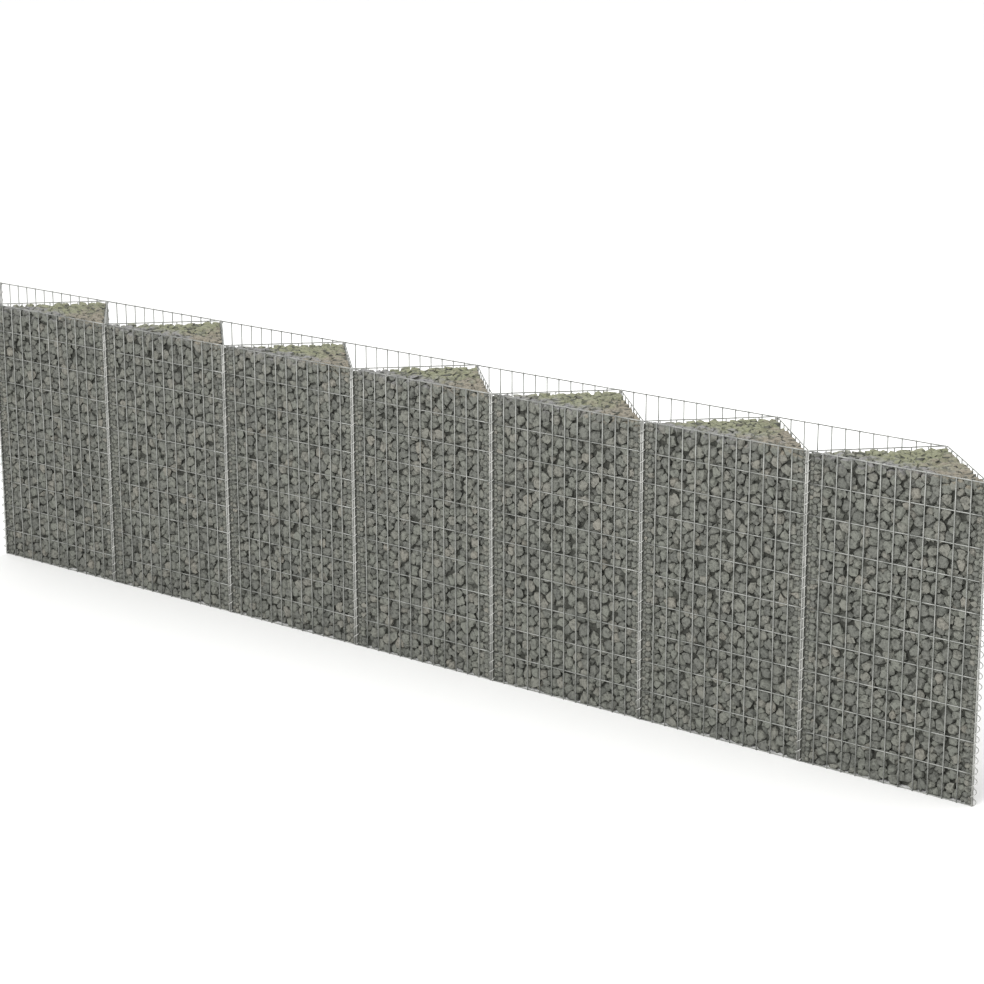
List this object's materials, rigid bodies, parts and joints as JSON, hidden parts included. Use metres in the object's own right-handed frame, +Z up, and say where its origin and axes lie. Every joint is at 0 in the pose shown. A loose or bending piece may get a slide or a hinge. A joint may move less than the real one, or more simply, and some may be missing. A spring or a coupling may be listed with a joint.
{
  "type": "gabion wall",
  "caption": "Free-standing gabion wall of welded mesh panels laced with wire spirals in a zigzag plan, its front triangles filled with stone and its back pockets open.",
  "frame": {"origin": "on the ground, in the middle of the wall's length and depth", "axes": "+X along the wall to the right as seen from the filled front, +Y to the back, +Z up"},
  "size_m": [4.5834, 0.3252, 1.004],
  "materials": {
    "galvanised_mesh": "dull zinc coat",
    "stone": "rough broken stone",
    "galvanised_spiral": "dull zinc coat"
  },
  "bodies": {
    "root": {"front_panel_1": "galvanised_mesh", "front_panel_2": "galvanised_mesh", "front_panel_3": "galvanised_mesh", "front_panel_4": "galvanised_mesh", "front_panel_5": "galvanised_mesh", "front_panel_6": "galvanised_mesh", "front_panel_7": "galvanised_mesh", "back_panel_1": "galvanised_mesh", "back_panel_2": "galvanised_mesh", "back_panel_3": "galvanised_mesh", "back_panel_4": "galvanised_mesh", "back_panel_5": "galvanised_mesh", "back_panel_6": "galvanised_mesh", "back_panel_7": "galvanised_mesh", "left_side_panel_1": "galvanised_mesh", "left_side_panel_2": "galvanised_mesh", "left_side_panel_3": "galvanised_mesh", "left_side_panel_4": "galvanised_mesh", "left_side_panel_5": "galvanised_mesh", "left_side_panel_6": "galvanised_mesh", "left_side_panel_7": "galvanised_mesh", "right_side_panel_1": "galvanised_mesh", "right_side_panel_2": "galvanised_mesh", "right_side_panel_3": "galvanised_mesh", "right_side_panel_4": "galvanised_mesh", "right_side_panel_5": "galvanised_mesh", "right_side_panel_6": "galvanised_mesh", "right_side_panel_7": "galvanised_mesh", "end_panel": "galvanised_mesh", "stone_fill_1": "stone", "stone_fill_2": "stone", "stone_fill_3": "stone", "stone_fill_4": "stone", "stone_fill_5": "stone", "stone_fill_6": "stone", "stone_fill_7": "stone", "front_spirals": "galvanised_spiral", "back_spirals": "galvanised_spiral"}
  },
  "joints": []
}
